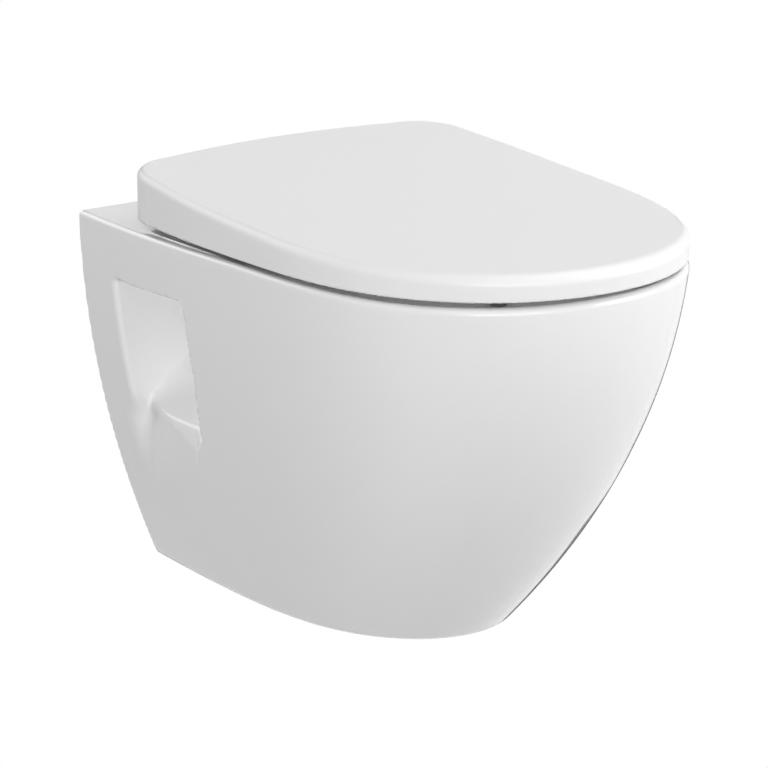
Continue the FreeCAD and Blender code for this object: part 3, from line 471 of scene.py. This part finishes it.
def panField(x, y, z):
    s = panSettings
    side = np.abs(x)
    under = s["rim"] - s["deck"]

    # outside
    skin = evened(panSkin, x, y, z)
    roll = s["sideRoll"] + (s["frontRoll"] - s["sideRoll"]) * ease(-y, *s["rollRange"])
    lift = s["rimLift"] * ease(-y, *s["liftRange"]) * ease(skin, *s["liftDepth"])
    body = roundMax(skin, z - s["rim"] - lift, roll)
    body = roundMax(body, baseHeight - z, s["baseRoll"])
    body = roundMax(body, y, s["wallEdge"])

    # bowl, trap, flush duct and outlet
    bowl = evened(bowlSpace, x, y, z)
    mouth = evened(mouthSpace, x, y, z)
    bowlOuter = np.minimum(bowl, mouth) - s["skin"]
    bowl = roundMax(roundMax(bowl, z - lipBottom, s["underLipRoll"]), sumpBottom - z, s["sumpRoll"])
    bowl = roundMin(bowl, np.maximum(mouth, lipBottom - s["lipOverlap"] - z), s["underLipRoll"])
    trap = np.hypot(x, pathDistance(trapPoints, y, z))
    duct = np.hypot(x, z - s["inletHeight"])
    spigot = np.hypot(x, z - s["outletHeight"])

    # recess, open to both sides
    place, lean, start = s["windowFront"]
    ahead = place + lean * np.minimum(z - start, 0)
    top = s["windowTop"][0] + s["windowTop"][1] * (-y - s["flange"])
    recess = roundMax(recessFloor(x, y, z, 0), -ahead - y, s["frontEdgeRoll"])
    ceiling = np.minimum(z - top, np.maximum(z - under, side - s["innerSkin"]))
    recess = roundMax(recess, ceiling, s["ceilingRoll"])
    recess = roundMax(recess, y + s["flange"], s["flangeRoll"])
    pocketPlace, pocketRadius, pocketBack = s["pocket"]
    pocket = np.hypot(side - pocketPlace, z) - pocketRadius
    pocket = roundMax(pocket, between(y, -s["flange"] - s["pocketFront"], -pocketBack), s["pocketRoll"])
    recess = roundMin(recess, pocket, s["pocketEdge"])
    recess = roundMax(recess, -bowlOuter, s["bowlSideRoll"])
    recess = roundMax(recess, s["duct"] - duct, s["bowlSideRoll"])

    # hollow behind the wall face
    shell = np.maximum(recessFloor(x, y, z, s["skin"]), -ahead - s["skin"] - y)
    hollow = np.maximum(skin + s["skin"], z - under)
    hollow = np.maximum(hollow, baseHeight + s["skin"] - z)
    hollow = np.maximum(hollow, -s["hollowFront"] - y)
    hollow = roundMax(hollow, -shell, s["hollowRoll"])
    hollow = roundMax(hollow, -bowlOuter, s["hollowRoll"])
    hollow = roundMax(hollow, s["waterway"] + s["trapWall"] - trap, s["hollowRoll"])
    hollow = roundMax(hollow, np.minimum(s["spigot"] - spigot, s["spigotDepth"] + y), s["spigotRoll"])

    # body less its spaces
    plain, atRear, lowDown = s["windowEdge"]
    low = ease(-z, *s["edgeLow"]) * ease(y, *s["edgeLowRear"])
    edge = plain + atRear * ease(y, *s["edgeRear"]) + lowDown * low
    solid = roundMax(body, -bowl, s["lipRoll"])
    solid = roundMax(solid, -recess, edge)
    solid = roundMax(solid, -hollow, s["hollowEdge"])
    solid = np.maximum(solid, s["waterway"] - trap)
    solid = np.maximum(solid, -np.maximum(spigot - s["outlet"], -s["outletDepth"] - y))
    throat = ease(-y, *s["throatRange"])
    slot = np.hypot(x / (s["inlet"] + s["throatWide"] * throat),
                    (z - s["inletHeight"] + s["throatDrop"] * throat) / (s["inlet"] - s["throatFlat"] * throat))
    slot = s["throatScale"] * (slot - 1)
    solid = np.maximum(solid, -np.maximum(slot, -s["throatEnd"] - y))
    holePlace, holeRadius, holeDepth = s["fixingHole"]
    holes = np.maximum(np.hypot(side - holePlace, z) - holeRadius, -holeDepth - y)
    hingePlace, hingeBack, hingeRadius = s["hingeHole"]
    screws = np.maximum(np.hypot(side - hingePlace, y + hingeBack) - hingeRadius, under - s["hingeCut"] - z)
    return np.maximum(np.maximum(solid, -holes), -screws)


# lid and seat ring
lidSettings = {
    # plan: half width at its widest and at the rear, then distance of front, widest place and rear from the wall
    "half": 177.1, "rearHalf": 169.9, "reach": 524.3, "widest": 281.3, "rear": 56.5, "bow": 10.25,
    "corner": 51.4, "cornerPower": 2.15, "flank": 3.16, "nosePower": 2.586, "noseRoot": 2.077,
    # top: heights at the rear and the front, sag between them, crown over half a width, rolled edge
    "rearTop": 135.0, "frontTop": 110.3, "sag": 5.9,
    "crown": 3.0, "crownHalf": 171, "crownInset": 5, "crownPower": 3,
    "rearRoll": 6.6, "frontRoll": 9.9, "bottom": 88.6, "wall": 4.0, "edge": 1.0,
    # hinge line as (y, z), its knuckles between two places on each side
    "axis": (-78.0, 114.0), "knuckle": 11.0, "bore": 7.525, "knuckles": (88.0, 112.0),
    "knuckleEdge": 0.6, "knuckleBlend": 1.5, "armBlend": 2, "webTop": 2, "webInset": 1,
    "notch": (39.5, 101.0), "notchRear": 5.5, "relief": (77.5, 95.0),
    "pitch": 2.1, "triangles": 150000, "box": ((-180, -528, 84), (180, -50, 138)),
}
ringSettings = {
    "inset": 16.0, "bottom": 86.0, "top": 102.0, "rear": 110.0, "rearRoll": 4, "roll": 6.0, "underRoll": 2.0,
    "hole": (108.0, 460.0, 178.0, 320.0), "notch": (66.5, 88.5, 126.0), "notchRoll": 2, "knuckles": (43.0, 67.0),
    # the arm from the ring up to its knuckle, as (y, z) corners
    "arm": ((-122, 86), (-106, 86), (-75.8, 103.2), (-75.8, 124.8), (-122, 102)), "armRoll": 1.0,
    "pitch": 2.3, "triangles": 110000, "box": ((-170, -512, 82), (170, -60, 128)),
}


def lidSkin(x, y, z):
    s = lidSettings
    side, back = np.abs(x), -y
    cornerBack = s["rear"] + s["bow"] + s["corner"]
    share = np.clip((back - cornerBack) / (s["widest"] - cornerBack), 0, 1)
    flank = s["rearHalf"] + (s["half"] - s["rearHalf"]) * (1 - (1 - share) ** s["flank"])
    nose = np.maximum(back - s["widest"], 0) / (s["reach"] - s["widest"])
    front = (side / s["half"]) ** s["noseRoot"] + nose ** s["nosePower"]
    front = s["half"] * (front ** (1 / s["noseRoot"]) - 1)
    skin = np.where(back < s["widest"], side - flank, front)
    bowed = np.minimum(side / (s["rearHalf"] - s["corner"]), 1) ** 2
    rear = s["rear"] + s["bow"] * bowed - back
    a, b = np.maximum(skin + s["corner"], 1e-6), np.maximum(rear + s["corner"], 1e-6)
    rounded = (a ** s["cornerPower"] + b ** s["cornerPower"]) ** (1 / s["cornerPower"]) - s["corner"]
    return np.where((a > 1e-5) & (b > 1e-5), rounded, np.maximum(skin, rear)) + 0 * z


def lidCeiling(x, y):
    # height of the lid's top before its edge is rolled, and the radius of that roll
    s = lidSettings
    share = (-y - s["rear"]) / (s["reach"] - s["rear"])
    flat = s["rearTop"] + (s["frontTop"] - s["rearTop"]) * share - 4 * s["sag"] * share * (1 - share)
    middle = (s["rear"] + s["reach"]) / 2
    power = s["crownPower"]
    along = np.abs((y + middle) / (middle - s["rear"] - s["crownInset"]))
    gauge = (np.abs(x / s["crownHalf"]) ** power + along ** power) ** (2 / power)
    roll = s["rearRoll"] + (s["frontRoll"] - s["rearRoll"]) * np.clip(share, 0, 1) ** 2
    return flat + s["crown"] * (1 - np.minimum(gauge, 1)), roll


def hingeKnuckle(x, y, z, arm, knuckles, overlap):
    # the knuckle with its arm, and the bore through it
    s = lidSettings
    side = np.abs(x)
    hinge = np.hypot(y - s["axis"][0], z - s["axis"][1])
    knuckle = roundMin(hinge - s["knuckle"], arm, s["armBlend"])
    knuckle = roundMax(knuckle, between(side, *knuckles), s["knuckleEdge"])
    bore = np.maximum(hinge - s["bore"], between(side, knuckles[0] - 1, knuckles[1] + overlap))
    return knuckle, bore


def lidField(x, y, z):
    s = lidSettings
    edge = s["edge"]
    skin = evened(lidSkin, x, y, z)
    top, roll = lidCeiling(x, y)
    body = roundMax(roundMax(skin, z - top, roll), s["bottom"] - z, edge)
    space = roundMax(skin + s["wall"], z - top + s["wall"], roll)
    solid = roundMax(body, -space, edge)
    side = np.abs(x)
    notch = np.maximum(s["axis"][0] + s["notchRear"] - y, z - top + s["wall"])
    notch = np.maximum(between(side, *s["notch"]), notch)
    relief = np.maximum(side - s["relief"][0], np.maximum(s["axis"][0] - y, z - s["relief"][1]))
    solid = roundMax(roundMax(solid, -notch, edge), -relief, edge)
    web = np.maximum(s["axis"][1] - z, z - top + s["webTop"])
    web = np.maximum(np.abs(y - s["axis"][0]) - s["knuckle"], web)
    web = np.maximum(web, skin + s["webInset"])
    knuckle, bore = hingeKnuckle(x, y, z, web, s["knuckles"], 0)
    return np.maximum(roundMin(solid, knuckle, s["knuckleBlend"]), -bore)


def ringField(x, y, z):
    s = ringSettings
    side = np.abs(x)
    skin = roundMax(evened(lidSkin, x, y, z) + s["inset"], y + s["rear"], s["rearRoll"])
    hole = evened(lambda a, b, c: egg(a, b, *s["hole"]) + 0 * c, x, y, z)
    solid = roundMax(np.maximum(skin, -hole), z - s["top"], s["roll"])
    solid = roundMax(solid, s["bottom"] - z, s["underRoll"])
    notch = np.maximum(between(side, *s["notch"][:2]), -s["notch"][2] - y)
    solid = roundMax(solid, -notch, s["notchRoll"])
    arm = None
    corners = s["arm"]
    for (y0, z0), (y1, z1) in zip(corners, corners[1:] + corners[:1]):
        length = np.hypot(y1 - y0, z1 - z0)
        plane = ((y - y0) * (z1 - z0) - (z - z0) * (y1 - y0)) / length
        arm = plane if arm is None else roundMax(arm, plane, s["armRoll"])
    knuckle, bore = hingeKnuckle(x, y, z, arm, s["knuckles"], 1)
    return np.maximum(roundMin(solid, knuckle, lidSettings["knuckleBlend"]), -bore)


def makePiece(name, field, settings, body, node, slotName):
    share, rounds = meshSettings["firstSettle"]
    verts, faces = surfaceNet(field, *settings["box"], settings["pitch"])
    verts = settle(field, verts, settings["pitch"] * share, rounds)
    mesh = bpy.data.meshes.new(name + "Fine")
    mesh.from_pydata((verts / 1000).tolist(), [], faces.tolist())
    piece = bpy.data.objects.new(name, mesh)
    bpy.context.scene.collection.objects.link(piece)
    thin = piece.modifiers.new("thin", "DECIMATE")
    thin.ratio = min(1.0, settings["triangles"] / (2 * len(faces)))
    thinned = bpy.data.meshes.new_from_object(piece.evaluated_get(bpy.context.evaluated_depsgraph_get()))
    piece.modifiers.clear()
    piece.data = thinned
    thinned.name = name
    bpy.data.meshes.remove(mesh)
    flat = np.empty(3 * len(thinned.vertices))
    thinned.vertices.foreach_get("co", flat)
    verts = settle(field, flat.reshape(-1, 3) * 1000, *meshSettings["lastSettle"])
    slope = slopeOf(field, verts)
    normals = slope / np.linalg.norm(slope, axis=1)[:, None]
    thinned.vertices.foreach_set("co", (verts / 1000).ravel())
    thinned.polygons.foreach_set("use_smooth", np.ones(len(thinned.polygons), bool))
    thinned.update()
    thinned.normals_split_custom_set_from_vertices(normals.tolist())
    thinned.materials.append(finishes[slotName])
    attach(piece, body)
    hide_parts(node)
    print("made", name, len(thinned.polygons), "faces")
    return piece


# turned pieces: covers of the two wall fixings, and soft buffers under the ring drawn in towards the rim
turnedSettings = {"around": 72}
coverSettings = {
    "place": 90.0, "height": 0.0, "back": 55.8,
    "radius": 22.0, "depth": 5.6, "gauge": 1.2, "sink": 0.2, "steps": 14,
}
bufferSettings = {
    "places": ((75, 474), (140, 205)), "top": 86.0,
    "height": 5.8, "radius": 11.0, "flange": 0.6, "foot": 7.4, "round": 1.6, "steps": 6,
}


def makeTurned(name, profile, places, along, body, node):
    # one closed turned solid at each place, its profile as (radius, distance) along the axis, in millimetres
    along = Vector(along)
    across = along.orthogonal().normalized()
    third = along.cross(across)
    around = turnedSettings["around"]
    builder = bmesh.new()
    for place in places:
        rings = []
        for radius, depth in profile:
            ring = []
            for a in np.arange(around if radius else 1) * 2 * np.pi / around:
                u, v = radius * np.cos(a), radius * np.sin(a)
                ring.append(builder.verts.new((Vector(place) + along * depth + across * u + third * v) / 1000))
            rings.append(ring)
        for first, second in zip(rings, rings[1:]):
            for i in range(around):
                turns = ((first, i), (first, i + 1), (second, i + 1), (second, i))
                corners = [ring[k % len(ring)] for ring, k in turns]
                builder.faces.new(list(dict.fromkeys(corners)))  # three corners at a pole
    bmesh.ops.recalc_face_normals(builder, faces=builder.faces)
    mesh = bpy.data.meshes.new(name)
    builder.to_mesh(mesh)
    builder.free()
    mesh.polygons.foreach_set("use_smooth", np.ones(len(mesh.polygons), bool))
    mesh.materials.append(finishes[slots[node]])
    piece = bpy.data.objects.new(name, mesh)
    bpy.context.scene.collection.objects.link(piece)
    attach(piece, body)
    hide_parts(node)
    print("made", name)


def makeCovers():
    s = coverSettings
    radii = np.linspace(0, s["radius"], s["steps"])
    dome = s["depth"] / 2 * (1 + np.cos(np.pi * radii / s["radius"]))
    inside = np.maximum(dome[::-1] - s["gauge"], -s["sink"])
    profile = list(zip(radii, dome)) + list(zip(radii[::-1], inside))
    places = [(side * s["place"], -s["back"], s["height"]) for side in (-1, 1)]
    makeTurned("fixingCovers", profile, places, (0, -1, 0), "pan", "wall_caps")


def makeBuffers():
    s = bufferSettings
    profile = [(0, 0), (s["radius"], 0), (s["radius"], s["flange"])]
    for a in np.linspace(0, np.pi / 2, s["steps"]):
        out, down = s["round"] * np.cos(a), s["round"] * np.sin(a)
        profile.append((s["foot"] - s["round"] + out, s["height"] - s["round"] + down))
    profile.append((0, s["height"]))
    places = [(side * x, -y, s["top"]) for x, y in s["places"] for side in (-1, 1)]
    makeTurned("ringBuffers", profile, places, (0, 0, -1), "seat", "seat_buffers")


def blockFills(pieces):
    # the soft fills light the recess through the pan, and these pieces keep the gap under the lid dark
    blockers = bpy.data.collections.new("fillBlockers")
    for piece in pieces:
        blockers.objects.link(piece)
    for name in studioSettings["softFills"]:
        bpy.data.objects[name].light_linking.blocker_collection = blockers


slots = {row["node"]: row["material_slot"] for row in frame["record"]["subparts"]}
makeCovers()
makeBuffers()
makePiece("panBody", panField, panSettings, "pan", "pan", "china")
lidShell = makePiece("lidShell", lidField, lidSettings, "lid", "lid", "lid")
seatRing = makePiece("seatRing", ringField, ringSettings, "seat", "seat_ring", "ring")
blockFills((lidShell, seatRing))

# finishes on what is shown as it was built
for name, node in nodes.items():
    node.data.materials.clear()
    node.data.materials.append(finishes[slots[name]])
print("finishes on", len(nodes), "nodes")
